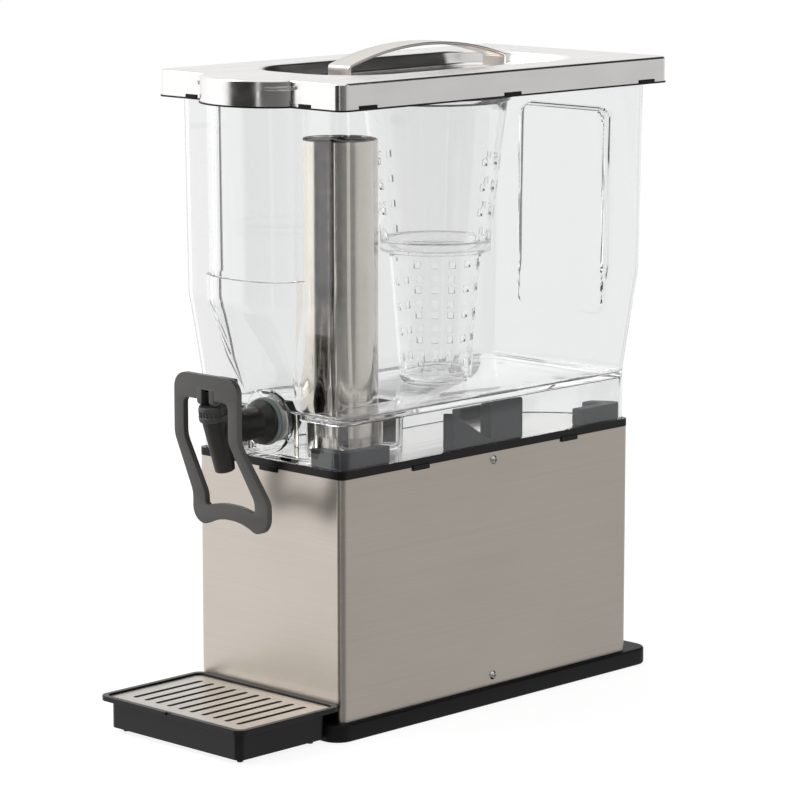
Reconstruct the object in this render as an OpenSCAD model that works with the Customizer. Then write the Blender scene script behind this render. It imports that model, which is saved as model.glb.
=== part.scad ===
// Countertop cold-drink dispenser with a tall clear reservoir on a stainless base.
// A push-back faucet in front fills a glass over a loose drip tray.
// Frame: X to the right, Y to the back, Z up. The origin is the centre of the
// foot plate's underside, which is the face that stands on the counter.

/* [Base] */
// Width of the stainless base, side to side
base_w = 160; // [150:1:180]
// Depth of the stainless base, front to back
base_d = 333; // [310:1:360]
// Height of the stainless base shell
shell_h = 190; // [170:1:220]
// Height of the black foot plate
foot_h = 14; // [10:1:18]
// Thickness of the base's sheet steel
sheet = 1.2; // [1:0.1:2]
// Outer bend radius of the base shell's upright corners
bend_r = 6; // [4:1:12]
// Height of the collar that the reservoir stands on
collar_h = 6; // [4:1:8]

/* [Reservoir] */
// Wall thickness of the clear reservoir
wall = 3; // [2.5:0.5:4]
// Height of the skirt that stands on the collar
skirt_h = 38; // [34:1:44]
// Height of the whole reservoir
reservoir_h = 292; // [260:1:320]
// How far the reservoir's side wall stands out past the skirt at the mouth
flare_x = 8.8; // [4:0.2:12]
// How far the reservoir's end wall stands out past the skirt at the mouth
flare_y = 11.6; // [6:0.2:14]
// Corner radius of the reservoir's plan
plan_r = 12; // [9:1:16]
// Half width of the bulge in the front wall
bulge_w = 44; // [38:1:50]
// How far the bulge stands out of the front wall
bulge_d = 28; // [20:1:34]

/* [Faucet] */
// Height of the faucet's shank above the skirt's lower edge
shank_up = 30.5; // [28:0.5:33]
// How far the valve's axis stands in front of the base
valve_out = 53.4; // [48:0.2:60]
// Forward lean of the valve, degrees
valve_tilt = 12.8; // [8:0.2:16]
// Outer radius of the shank's thread
shank_r = 11; // [10:0.5:12]
// Sideways distance from the hinge pin to the middle of the cam lobe
cam_offset = 3.5; // [3:0.25:4]

/* [Ice tube and infuser] */
// Outer radius of the ice tube
tube_r = 30; // [24:1:31]
// Height of the ice tube
tube_h = 241; // [200:1:250]
// Height of the infuser cup's straight part
cup_h = 100; // [80:1:100]
// Height of the infuser's tapered sleeve
sleeve_h = 111; // [90:1:111]

/* [Lid] */
// Width of the lid
lid_w = 204; // [200:1:212]
// Depth of the lid without its bulge
lid_d = 375; // [372:1:384]
// Height of the lid's skirt
lid_h = 21; // [18:1:24]
// Depth of the recess in the lid
recess_h = 12; // [8:1:13]
// Rise of the handle's arch above its legs
arch_rise = 14; // [8:1:20]

/* [Drip tray] */
// Width of the tray's flange
tray_w = 160; // [150:1:176]
// Depth of the tray's flange, front to back
tray_d = 107.5; // [90:0.5:130]
// Height of the tray's flange above the counter
tray_h = 28.8; // [24:0.2:34]
// Number of slots in the grille
slot_count = 10; // [6:1:10]

/* [Hidden] */
$fn = 64;
eps = 0.5;

// Levels, from the counter up
shell_top = foot_h + shell_h;
deck = shell_top + collar_h;
floor_z = deck + skirt_h;
mouth_z = deck + reservoir_h;
lid_bottom = mouth_z - 16;
lid_top = lid_bottom + lid_h;
recess_z = lid_top - recess_h;

// Base
half_w = base_w / 2;
half_d = base_d / 2;
foot_side = 4.5;
foot_front = 10;
foot_back = 26;
foot_r = 15;
upstand_t = 3;
upstand_h = 18;
fit_gap = 0.1;
screw_y = 3;
screw_r = 1.75;
screw_hole_r = 1.8;
screw_low = foot_h + 8.2;
screw_high = shell_top - 6.8;
pad_r = 11;
pad_t = 2.5;
collar_proud = 0.3;
collar_land = 14;
deck_land = 3.6;
deck_t = 1.2;
block_t = 12;
block_gap = 0.6;
block_h = 14;
block_side_len = 50;
block_front_len = 34;
post_h = 33.5;
tab_drop = 3;

// Reservoir
skirt_x = half_w;
skirt_y = half_d - 1.1;
floor_t = 3;
well_x = 34;
well_back = -half_d + 112;
well_r = 12;
well_floor = deck + 2;
well_t = 2;
shoulder_z = floor_z + 2;
bulge_root = 4;
ledge_z = mouth_z - 148;
panel_w = 94;
panel_low = floor_z + 44;
panel_high = floor_z + 213;
panel_depth = 7.4;
flange_out = 5.4;
flange_bulge = 3;
boss_r = 25;
boss_out = 3.2;
pad_wall = 6.8;
pad_r_in = 18;

// Faucet
shank_z = deck + shank_up;
valve_y = -half_d - valve_out;
seat_face = -skirt_y - boss_out;
washer_t = 3.9;
inner_face = -skirt_y + pad_wall;
inner_washer_t = 2.4;
nut_t = 9;
pin_up = 27;
pin_r = 1.5;
bonnet_top = 21;
pin_y = valve_y - pin_up * sin(valve_tilt);
pin_z = shank_z + pin_up * cos(valve_tilt);
lobe_drop = 2;
lobe_r = pin_up - bonnet_top - lobe_drop - 0.1;
loop_half = 35;
loop_half_low = 41.5;
loop_t = 5;
loop_top = pin_z + 16.8;
loop_front = pin_y - 4.1;
loop_back = loop_front + 24.5;
loop_bend = pin_z - 33.3;
loop_sweep = pin_z - 79.8;
loop_low = pin_z - 105.2;
slot_w = 8.4;

// Ice tube
tube_y = -half_d + 76.7;
tube_t = 1.2;
tube_top = well_floor + tube_h;
stopper_in = 12;

// Infuser
infuser_y = 18;
cup_low = floor_z + 8;
cup_top = cup_low + cup_h;
cup_r_low = 29;
cup_r_high = 37.4;
cup_t = 2;
collar_r = 44.4;
collar_up = 8.8;
sleeve_low = cup_top + collar_up + 0.4;
sleeve_top = sleeve_low + sleeve_h;
sleeve_r_low = 44.2;
sleeve_r_high = 57.5;
spigot_r = 41.6;
spigot_h = 6;
head_r = 59.9;
ring_r = 60.4;
ring_t = 3;
hole = 5;
hole_pitch = 20.1;

// Lid
lid_r = 9;
lid_sheet = 1;
lid_in = 0.9;
lip_h = 1;
clip_h = 2.5;
lid_bulge_w = 50;
lid_bulge_d = 28;
recess_w = 126;
recess_d = 280;
recess_r = 48;
liner_t = 2.4;
plate_z = recess_z - lid_sheet - 4;
strap_w = 24;
strap_t = 2.5;
strap_half = 89.4;
foot_len = 16;

// Drip tray
tray_back = -half_d - 0.5;
tray_front = tray_back - tray_d;
tray_y = (tray_back + tray_front) / 2;
tray_wall = 2.4;
well_front = tray_front + 6;
well_rear = -half_d - foot_front - 0.5;
well_y = (well_front + well_rear) / 2;
well_w = tray_w - 14;
well_d = well_rear - well_front;
grille_t = 1.5;
slot_width = 4.4;
slot_len = 72;
slot_pitch = 12.9;

// ---- Plan shapes ----

module rounded_plan(w, d, r) {
    square([w - 2 * r, d], center = true);
    square([w, d - 2 * r], center = true);
    for (x = [-1, 1], y = [-1, 1])
        translate([x * (w / 2 - r), y * (d / 2 - r)]) circle(r);
}

module rounded_block(w, d, h, r) {
    linear_extrude(h) rounded_plan(w, d, r);
}

module half_ellipse(a, b, y) {
    translate([0, y]) scale([a, b]) circle(1, $fn = 48);
}

// A cylinder along +Y from y0 to y1, at height z
module y_rod(r, y0, y1, z) {
    translate([0, y0, z]) rotate([-90, 0, 0]) cylinder(r = r, h = y1 - y0);
}

module y_cone(r0, r1, y0, y1, z) {
    translate([0, y0, z]) rotate([-90, 0, 0]) cylinder(r1 = r0, r2 = r1, h = y1 - y0);
}

// A cylinder along +X centred on x = 0
module x_rod(r, len, y, z) {
    translate([-len / 2, y, z]) rotate([0, 90, 0]) cylinder(r = r, h = len);
}

// The valve's own frame: origin on the shank's axis, Z up the leaning stem
module at_valve() {
    translate([0, valve_y, shank_z]) rotate([valve_tilt, 0, 0]) children();
}

// A side outline drawn as (y, z), extruded across X
module across_x(w) {
    translate([-w / 2, 0, 0]) rotate([90, 0, 90]) linear_extrude(w) children();
}

// A front outline drawn as (x, z), extruded from y0 to y1
module along_y(y0, y1) {
    translate([0, y1, 0]) rotate([90, 0, 0]) linear_extrude(y1 - y0) children();
}

// ---- Base ----

module side_screws_at(z_list) {
    for (side = [0, 180], z = z_list)
        rotate([0, 0, side])
            translate([half_w, side == 0 ? screw_y : -screw_y, z])
                rotate([0, 90, 0]) children();
}

module upstand(z, h) {
    translate([0, 0, z]) difference() {
        rounded_block(base_w - 2 * (sheet + fit_gap), base_d - 2 * (sheet + fit_gap), h, bend_r - sheet);
        translate([0, 0, -eps])
            rounded_block(base_w - 2 * (sheet + upstand_t), base_d - 2 * (sheet + upstand_t),
                h + 2 * eps, bend_r - sheet - 2);
    }
}

// Lugs inside the upstand that the side screws thread into
module screw_lugs(z) {
    for (side = [-1, 1])
        translate([side * (half_w - sheet - upstand_t - 2.4), screw_y, z])
            cube([5, 12, 9], center = true);
}

module foot_plate() {
    foot_d = base_d + foot_front + foot_back;
    foot_y = (foot_back - foot_front) / 2;
    color("#161616") difference() {
        union() {
            translate([0, foot_y, 0])
                rounded_block(base_w + 2 * foot_side, foot_d, foot_h - 2, foot_r);
            translate([0, foot_y, foot_h - 2])
                rounded_block(base_w + 2 * foot_side - 2.4, foot_d - 2.4, 2, foot_r - 1.2);
            upstand(foot_h, upstand_h);
            screw_lugs(screw_low);
        }
        foot_pad_places() cylinder(r = pad_r + 0.2, h = pad_t);
        side_screws_at([screw_low])
            translate([0, 0, -14]) cylinder(r = screw_hole_r, h = 15, $fn = 32);
    }
}

module foot_pad_places() {
    for (x = [-1, 1], y = [-half_d + 22, half_d - 6])
        translate([x * (half_w - 20), y, 0]) children();
}

module foot_pads() {
    color("#2b2b2b") foot_pad_places() cylinder(r = pad_r, h = pad_t);
}

module base_shell() {
    color("#b9b2a8") difference() {
        translate([0, 0, foot_h]) rounded_block(base_w, base_d, shell_h, bend_r);
        translate([0, 0, foot_h - eps])
            rounded_block(base_w - 2 * sheet, base_d - 2 * sheet, shell_h + 2 * eps, bend_r - sheet);
        side_screws_at([screw_low, screw_high])
            translate([0, 0, -4]) cylinder(r = screw_hole_r, h = 6, $fn = 32);
    }
}

module base_collar() {
    color("#101010") difference() {
        union() {
            translate([0, 0, shell_top])
                rounded_block(base_w + 2 * collar_proud, base_d + 2 * collar_proud, collar_h,
                    bend_r + collar_proud);
            upstand(shell_top - upstand_h, upstand_h + 1);
            screw_lugs(screw_high);
            for (side = [-1, 1], span = [[-80.5, 18], [92, 19]])
                translate([side * (half_w + 0.7), span[0], shell_top - tab_drop / 2 + 0.5])
                    cube([1.2, span[1], tab_drop + 1], center = true);
            translate([0, -half_d - 0.7, shell_top - tab_drop / 2 + 0.5])
                cube([19, 1.2, tab_drop + 1], center = true);
        }
        translate([0, 0, shell_top])
            rounded_block(base_w - 2 * collar_land, base_d - 2 * collar_land, collar_h + eps, 6);
        translate([0, 0, deck - deck_t])
            rounded_block(base_w - 2 * deck_land, base_d - 2 * deck_land, deck_t + eps, 3);
        side_screws_at([screw_high])
            translate([0, 0, -14]) cylinder(r = screw_hole_r, h = 15, $fn = 32);
    }
}

// Steel plate that closes the base, let into the collar
module deck_plate() {
    color("#c4beb5") translate([0, 0, deck - deck_t])
        rounded_block(base_w - 2 * (deck_land + fit_gap), base_d - 2 * (deck_land + fit_gap), deck_t, 3 - fit_gap);
}

// Outer reach of the locating blocks, just inside the reservoir's skirt
block_x = half_w - wall - block_gap;
block_y = skirt_y - wall - block_gap;

module corner_block() {
    side_y = block_y - block_side_len;
    intersection() {
        union() {
            translate([block_x - block_t, side_y, deck]) cube([block_t, block_side_len, block_h]);
            translate([block_x - block_front_len, block_y - block_t, deck])
                cube([block_front_len, block_t, block_h]);
        }
        translate([0, 0, deck]) rounded_block(2 * block_x, 2 * block_y, block_h, plan_r - wall);
    }
}

module corner_blocks() {
    color("#3a3b3d") for (x = [0, 1], y = [0, 1]) mirror([x, 0, 0]) mirror([0, y, 0]) corner_block();
}

// A tall post with a ramp in front of it that leads the skirt into place
module side_block() {
    ramp_y = -half_d + 125;
    post_y = -half_d + 168;
    post_end = -half_d + 206;
    r = 3;
    translate([block_x - block_t / 2, 0, 0]) across_x(block_t) {
        polygon([[ramp_y, deck], [ramp_y, deck + 30], [post_y + 1, deck + 3], [post_y + 1, deck]]);
        translate([post_y, deck]) square([post_end - post_y, post_h - r]);
        translate([post_y + r, deck + post_h - r - 1]) square([post_end - post_y - 2 * r, r + 1]);
        for (y = [post_y + r, post_end - r]) translate([y, deck + post_h - r]) circle(r);
    }
}

module side_blocks() {
    color("#3a3b3d") for (x = [0, 1]) mirror([x, 0, 0]) side_block();
}

module base_screws() {
    color("#8c8c8c") side_screws_at([screw_low, screw_high]) difference() {
        union() {
            translate([0, 0, -11]) cylinder(r = screw_r, h = 11.4, $fn = 32);
            translate([0, 0, 0.05]) cylinder(r1 = 3.6, r2 = 2.2, h = 2);
        }
        for (turn = [0, 90]) rotate([0, 0, turn]) translate([-2, -0.4, 1.1]) cube([4, 0.8, 2]);
    }
}

// ---- Reservoir ----

// Plan of the wall at a level, as half sizes; inset is how far inside the outer face
function side_x(t, inset) = skirt_x + flare_x * t - inset;
function side_y(t, inset) = skirt_y + flare_y * t - inset;

// One band of the wall between two levels, growing from flare share t0 to t1
module wall_band(z0, z1, t0, t1, inset) {
    w0 = 2 * side_x(t0, inset);
    d0 = 2 * side_y(t0, inset);
    grow = [side_x(t1, inset) * 2 / w0, side_y(t1, inset) * 2 / d0];
    translate([0, 0, z0]) linear_extrude(z1 - z0, scale = grow, slices = 1)
        rounded_plan(w0, d0, plan_r - inset, $fn = 40);
}

module bulge(z0, z1, a0, b0, a1, b1, inset) {
    root = -skirt_y - bulge_root;
    hull() {
        translate([0, 0, z0]) linear_extrude(0.1) half_ellipse(a0 - inset, b0 - inset, root);
        translate([0, 0, z1 - 0.1]) linear_extrude(0.1) half_ellipse(a1 - inset, b1 - inset, root);
    }
}

module reservoir_form(inset, low, high) {
    bend_1 = floor_z + 36;
    bend_2 = floor_z + 85;
    wall_band(low, shoulder_z + 0.05, 0, 0, inset);
    wall_band(shoulder_z, bend_1 + 0.05, 0, 0.33, inset);
    wall_band(bend_1, bend_2 + 0.05, 0.33, 0.85, inset);
    wall_band(bend_2, high, 0.85, 1, inset);
    bulge(floor_z + 14, ledge_z, 30, 6, bulge_w + 2, bulge_d + 8, inset);
    bulge(ledge_z - 1, high, bulge_w, bulge_d + 5, bulge_w, bulge_d + 7, inset);
}

module panel_form(grow) {
    mid = (panel_low + panel_high) / 2;
    tall = panel_high - panel_low + 2 * grow;
    along_y(skirt_y + flare_y - panel_depth - grow, half_d + 40)
        translate([0, mid]) rounded_plan(panel_w + 2 * grow, tall, 10);
}

// The sump's front wall is thick where the faucet is clamped through it
module well_form(inset, low) {
    back = well_back + wall - inset;
    front = inset > 0 ? inner_face : -skirt_y;
    width = 2 * (well_x + wall - inset);
    translate([0, (front + back) / 2, low])
        rounded_block(width, back - front, floor_z + 1 - low, well_r + wall - inset);
}

module flange_plan() {
    rounded_plan(2 * (side_x(1, 0) + flange_out), 2 * (side_y(1, 0) + flange_out), plan_r);
    half_ellipse(bulge_w + flange_bulge, bulge_d + 7 + flange_bulge, -skirt_y - bulge_root);
}

module reservoir() {
    color("#dfe6ea", 0.4) difference() {
        union() {
            difference() {
                reservoir_form(0, deck, mouth_z);
                translate([0, 0, deck - eps])
                    rounded_block(2 * (skirt_x - wall), 2 * (skirt_y - wall),
                        skirt_h - floor_t + eps, plan_r - wall);
            }
            well_form(0, well_floor - well_t);
            translate([0, 0, mouth_z - 3]) linear_extrude(3) flange_plan();
            y_rod(boss_r, seat_face, -skirt_y + wall / 2, shank_z);
        }
        difference() {
            reservoir_form(wall, floor_z, mouth_z + 1);
            panel_form(wall);
            y_rod(pad_r_in, -skirt_y, inner_face, shank_z);
        }
        panel_form(0);
        well_form(wall, well_floor);
        y_rod(shank_r + 0.4, seat_face - 1, inner_face + 1, shank_z);
    }
}

// ---- Faucet ----

module faucet_body() {
    flange_y = seat_face - washer_t;
    shank_end = inner_face + inner_washer_t + nut_t + 1;
    color("#2e2c29") difference() {
        union() {
            y_rod(12.5, valve_y, flange_y - 3, shank_z);
            y_cone(12.5, 17, flange_y - 9, flange_y - 3.4, shank_z);
            y_rod(17.5, flange_y - 3.5, flange_y, shank_z);
            y_rod(shank_r, flange_y - 1, shank_end, shank_z);
            at_valve() {
                translate([0, 0, -33.3]) cylinder(r1 = 7.7, r2 = 10.9, h = 42);
                cylinder(r = 9.6, h = 15);
            }
        }
        y_rod(6.5, valve_y, shank_end + 1, shank_z);
        at_valve() {
            translate([0, 0, -6]) cylinder(r = 8.2, h = 22);
            translate([0, 0, -10]) cylinder(r1 = 5.6, r2 = 8.2, h = 4.01);
            translate([0, 0, -35]) cylinder(r = 5.6, h = 26);
            // Flat seat for the bonnet
            translate([0, 0, 8.95]) difference() {
                cylinder(r = 13, h = 8);
                translate([0, 0, -1]) cylinder(r = 9.6, h = 10);
            }
        }
    }
}

module faucet_bonnet() {
    color("#4a4a48") at_valve() difference() {
        union() {
            translate([0, 0, 9]) cylinder(r = 11.8, h = 9.5);
            translate([0, 0, 11]) cylinder(r = 12.6, h = 2.4);
            translate([0, 0, 18.49]) cylinder(r1 = 11.8, r2 = 10.6, h = bonnet_top - 18.49);
            for (turn = [0:30:330]) rotate([0, 0, turn])
                translate([11.2, -1, 13.3]) cube([1.2, 2, 4]);
        }
        translate([0, 0, 8]) cylinder(r = 9.7, h = 8);
        translate([0, 0, 15]) cylinder(r = 4.7, h = 10);
    }
}

module washer_outer() {
    color("#8f9694") difference() {
        y_rod(18.5, seat_face - washer_t, seat_face, shank_z);
        y_rod(shank_r + 0.1, seat_face - washer_t - 1, seat_face + 1, shank_z);
    }
}

module washer_inner() {
    color("#c9cdcc") difference() {
        y_rod(16.5, inner_face, inner_face + inner_washer_t, shank_z);
        y_rod(shank_r + 0.1, inner_face - 1, inner_face + inner_washer_t + 1, shank_z);
    }
}

module shank_nut() {
    y0 = inner_face + inner_washer_t;
    color("#1c1c1c") difference() {
        union() {
            translate([0, y0, shank_z]) rotate([-90, 0, 0]) cylinder(r = 16.8, h = nut_t, $fn = 6);
            y_rod(16.2, y0, y0 + 2, shank_z);
        }
        y_rod(shank_r + 0.05, y0 - 1, y0 + nut_t + 1, shank_z);
    }
}

module faucet_stem() {
    color("#151515") at_valve() difference() {
        union() {
            translate([0, 0, -5]) cylinder(r = 3.2, h = 24, $fn = 48);
            translate([-3.7, -2.5, 18]) cube([7.4, 5, pin_up - 14]);
        }
        translate([-5, 0, pin_up]) rotate([0, 90, 0]) cylinder(r = pin_r + 0.02, h = 10, $fn = 48);
    }
}

module seat_cup() {
    color("#d9d6cf") at_valve() difference() {
        union() {
            translate([0, 0, -9.6]) cylinder(r1 = 5.1, r2 = 7.5, h = 3.8);
            translate([0, 0, -5.81]) cylinder(r = 7.5, h = 11);
        }
        translate([0, 0, -2]) cylinder(r = 6.1, h = 9);
        translate([0, 0, -5]) cylinder(r = 3.25, h = 5, $fn = 48);
    }
}

module handle_pin() {
    color("#9a9a9a") x_rod(pin_r, 18, pin_y, pin_z, $fn = 48);
}

// Two legs' outer or inner edges, drawn as (x, z): parallel, then spreading, then parallel
module leg_band(half, half_low, high, low) {
    polygon([[-half, high], [half, high], [half, loop_bend], [half_low, loop_sweep], [half_low, low],
        [-half_low, low], [-half_low, loop_sweep], [-half, loop_bend]]);
}

// Front outline of the push loop, drawn as (x, z)
module loop_outline() {
    top_r = 12;
    foot_r_loop = 13;
    inner = 24.5;
    inner_low = 27.5;
    inner_r = 5;
    window_top = pin_z - 2;
    bar_top = pin_z - 86.5;
    bar_r = 90;
    arch_r = 58;
    difference() {
        union() {
            leg_band(loop_half, loop_half_low, loop_top - top_r, loop_low + foot_r_loop);
            translate([-loop_half + top_r, loop_top - top_r - 1])
                square([2 * (loop_half - top_r), top_r + 1]);
            for (x = [-1, 1]) translate([x * (loop_half - top_r), loop_top - top_r]) circle(top_r);
            translate([-loop_half_low + foot_r_loop, loop_low])
                square([2 * (loop_half_low - foot_r_loop), foot_r_loop + 1]);
            for (x = [-1, 1])
                translate([x * (loop_half_low - foot_r_loop), loop_low + foot_r_loop]) circle(foot_r_loop);
        }
        // Window, whose lower edge follows the arched bar
        difference() {
            union() {
                leg_band(inner, inner_low, window_top - inner_r, bar_top - 6);
                translate([-inner + inner_r, window_top - inner_r - 1])
                    square([2 * (inner - inner_r), inner_r + 1]);
                for (x = [-1, 1]) translate([x * (inner - inner_r), window_top - inner_r]) circle(inner_r);
            }
            translate([0, bar_top - bar_r]) circle(bar_r, $fn = 128);
        }
        // Arch under the bar
        translate([0, bar_top - 12 - arch_r]) circle(arch_r, $fn = 128);
    }
}

// Side outline of the loop, drawn as (y, z): upright, then swept back, then upright
module loop_side() {
    f = loop_front - loop_t / 2;
    b = loop_back - loop_t / 2;
    polygon([[f, loop_top + 1], [f + loop_t, loop_top + 1], [f + loop_t, loop_bend + 1],
        [b + loop_t, loop_sweep + 1], [b + loop_t, loop_low - 1], [b, loop_low - 1], [b, loop_sweep],
        [f, loop_bend]]);
}

// Cheeks that carry the pin and the cam lobes, with a short tail behind
module cheek_side() {
    lobe_y = pin_y - cam_offset * cos(valve_tilt) + lobe_drop * sin(valve_tilt);
    lobe_z = pin_z - cam_offset * sin(valve_tilt) - lobe_drop * cos(valve_tilt);
    translate([lobe_y, lobe_z]) circle(lobe_r);
    translate([pin_y, pin_z]) circle(4.6);
    polygon([[lobe_y, lobe_z - lobe_r + 0.2], [pin_y, pin_z - 4.4], [pin_y + 9, pin_z - 1.6],
        [pin_y + 18.7, pin_z + 6.2], [pin_y + 18.7, pin_z + 12.5], [pin_y + 14.6, pin_z + 12.5],
        [pin_y + 9, pin_z + 6.8], [lobe_y, pin_z + 6.8]]);
}

module faucet_handle() {
    color("#4c4b49") difference() {
        union() {
            intersection() {
                across_x(2 * loop_half_low + 2) loop_side();
                along_y(loop_front - 10, loop_back + 10) loop_outline();
            }
            across_x(19) cheek_side();
        }
        translate([-slot_w / 2, pin_y - 18, pin_z - 12]) cube([slot_w, 24.4, 17.8]);
        x_rod(pin_r + 0.06, 24, pin_y, pin_z, $fn = 48);
    }
}

// ---- Ice tube ----

module ice_tube() {
    color("#cfcac2") translate([0, tube_y, 0]) difference() {
        translate([0, 0, well_floor]) cylinder(r = tube_r, h = tube_h, $fn = 128);
        translate([0, 0, well_floor + tube_t])
            cylinder(r = tube_r - tube_t, h = tube_h, $fn = 128);
    }
}

module tube_stopper() {
    seal_z = tube_top - 7;
    color("#1a1a1a") translate([0, tube_y, 0]) difference() {
        union() {
            translate([0, 0, tube_top - stopper_in])
                cylinder(r = tube_r - tube_t - 0.4, h = stopper_in - 1.4, $fn = 128);
        }
        translate([0, 0, seal_z]) difference() {
            cylinder(r = tube_r, h = 2.6, $fn = 128);
            translate([0, 0, -1]) cylinder(r = tube_r - tube_t - 2.4, h = 5, $fn = 128);
        }
        // Two finger hollows leave a bar across the top to pull on
        for (side = [-1, 1]) translate([0, side * 12, tube_top - 6.4])
            rounded_block(30, 12, 8, 5);
    }
}

module stopper_seal() {
    ring_mid = tube_r - tube_t - 1.35;
    color("#7c1f1a") translate([0, tube_y, tube_top - 5.7])
        rotate_extrude($fn = 128) translate([ring_mid, 0]) circle(0.95, $fn = 24);
}

// ---- Infuser ----

// Two opposite fields of square holes, five to a row, through a round wall between radii r0 and r1
module hole_fields(z0, rows, step, aim, r0, r1) {
    for (side = [0, 180], row = [0:rows - 1], k = [-2:2])
        rotate([0, 0, aim + side + k * step])
            translate([r0, -hole / 2, z0 + row * hole_pitch]) cube([r1 - r0, hole, hole]);
}

module infuser_sleeve() {
    color("#e6ebee", 0.5) translate([0, infuser_y, 0]) difference() {
        union() {
            translate([0, 0, sleeve_low])
                cylinder(r1 = sleeve_r_low, r2 = sleeve_r_high, h = sleeve_h, $fn = 128);
            translate([0, 0, sleeve_low - spigot_h])
                cylinder(r = spigot_r, h = spigot_h + 0.5, $fn = 128);
            translate([0, 0, sleeve_top - 0.5]) cylinder(r = head_r, h = plate_z - sleeve_top + 0.2, $fn = 128);
        }
        translate([0, 0, sleeve_low - 0.01])
            cylinder(r1 = spigot_r - cup_t, r2 = sleeve_r_high - cup_t, h = sleeve_h + 0.02, $fn = 128);
        translate([0, 0, sleeve_low - 10]) cylinder(r = spigot_r - cup_t, h = 10.1, $fn = 128);
        translate([0, 0, sleeve_top - 0.01]) cylinder(r = sleeve_r_high - cup_t, h = 20, $fn = 128);
        hole_fields(sleeve_low + 1.6, 4, 17.5, 38, 38, 56);
    }
}

module infuser_cup() {
    round_h = 8;
    color("#e6ebee", 0.5) translate([0, infuser_y, 0]) difference() {
        union() {
            translate([0, 0, cup_low])
                cylinder(r1 = cup_r_low, r2 = cup_r_high, h = cup_h + 0.1, $fn = 128);
            translate([0, 0, cup_low - round_h + 0.6])
                cylinder(r1 = cup_r_low - 6, r2 = cup_r_low, h = round_h - 0.59, $fn = 128);
            translate([0, 0, cup_top]) cylinder(r = collar_r, h = collar_up, $fn = 128);
        }
        translate([0, 0, cup_low])
            cylinder(r1 = cup_r_low - cup_t, r2 = cup_r_high - cup_t, h = cup_h + 0.01, $fn = 128);
        translate([0, 0, cup_low - round_h + 3])
            cylinder(r1 = cup_r_low - cup_t - 5, r2 = cup_r_low - cup_t, h = round_h - 2.99, $fn = 128);
        translate([0, 0, cup_top - 0.1]) cylinder(r = cup_r_high - cup_t, h = 4, $fn = 128);
        translate([0, 0, cup_top + 2.4]) cylinder(r = spigot_r + 0.4, h = collar_up, $fn = 128);
        hole_fields(cup_low + 9, 5, 23, -24, 24, 40);
    }
}

// ---- Lid ----

module lid_plan(inset) {
    rounded_plan(lid_w - 2 * inset, lid_d - 2 * inset, lid_r - min(inset, 5));
    half_ellipse(lid_bulge_w - inset, lid_bulge_d + 12 - inset, -lid_d / 2 + 12);
}

module recess_plan(grow) {
    rounded_plan(recess_w + 2 * grow, recess_d + 2 * grow, recess_r + grow);
}

module screw_places() {
    for (y = [-1, 1], x = [-1, 1])
        translate([x * 6, y * (strap_half - strap_t - foot_len / 2), 0]) children();
}

module lid_cover() {
    edge_z = lid_bottom + lip_h;
    color("#c4beb5") difference() {
        translate([0, 0, edge_z]) linear_extrude(lid_top - edge_z) lid_plan(lid_in);
        difference() {
            translate([0, 0, edge_z - eps]) linear_extrude(lid_top - lid_sheet - edge_z + eps)
                lid_plan(lid_in + lid_sheet);
            translate([0, 0, recess_z - lid_sheet]) linear_extrude(recess_h + 2)
                recess_plan(lid_sheet);
        }
        translate([0, 0, recess_z]) linear_extrude(recess_h + 1) recess_plan(0);
        screw_places() translate([0, 0, recess_z - 3]) cylinder(r = 2.1, h = 5, $fn = 32);
    }
}

module lid_liner() {
    outer = lid_in + lid_sheet + fit_gap;
    plug_w = 2 * (side_x(1, wall) - 1.2);
    plug_d = 2 * (side_y(1, wall) - 1.2);
    rim_z = mouth_z + 0.1;
    low = lid_bottom - 0.2;
    clip_t = lid_in - 0.02;
    clip_z = lid_bottom + lip_h + clip_h / 2 - 0.1;
    color("#141414") difference() {
        union() {
            translate([0, 0, low]) linear_extrude(lid_top - lid_sheet - fit_gap - low) lid_plan(outer);
            translate([0, 0, low]) linear_extrude(lip_h + 0.2) lid_plan(0);
            // Clips that hold the steel cover's lower edge
            for (side = [-1, 1], y = [-159, 0, 159])
                translate([side * (lid_w - clip_t) / 2, y, clip_z])
                    cube([clip_t, 18, clip_h + 0.2], center = true);
            for (x = [-62, 62])
                translate([x, (clip_t - lid_d) / 2, clip_z])
                    cube([12, clip_t, clip_h + 0.2], center = true);
        }
        // Channel that the reservoir's rim sits in
        difference() {
            translate([0, 0, low - 4]) linear_extrude(rim_z - low + 4) lid_plan(outer + liner_t);
            translate([0, 0, plate_z]) rounded_block(plug_w, plug_d, 40, plan_r - wall);
        }
        // Room for the steel recess
        translate([0, 0, recess_z - lid_sheet - fit_gap]) linear_extrude(40)
            recess_plan(lid_sheet + fit_gap);
        // Hollow between the plug wall and the wall round the recess
        difference() {
            translate([0, 0, plate_z - 1])
                rounded_block(plug_w - 2 * liner_t, plug_d - 2 * liner_t, rim_z - plate_z + 1,
                    plan_r - wall - 2);
            translate([0, 0, plate_z - 2]) linear_extrude(40) recess_plan(lid_sheet + liner_t);
        }
        screw_places() {
            translate([0, 0, plate_z - 1]) cylinder(r = 2.1, h = 8, $fn = 32);
            translate([0, 0, plate_z - 1]) cylinder(r = 4, h = 3);
        }
    }
    color("#141414") translate([0, infuser_y, plate_z - 10]) difference() {
        cylinder(r = ring_r + ring_t, h = 10.05, $fn = 128);
        translate([0, 0, -1]) cylinder(r = ring_r, h = 10.95, $fn = 128);
    }
}

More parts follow.
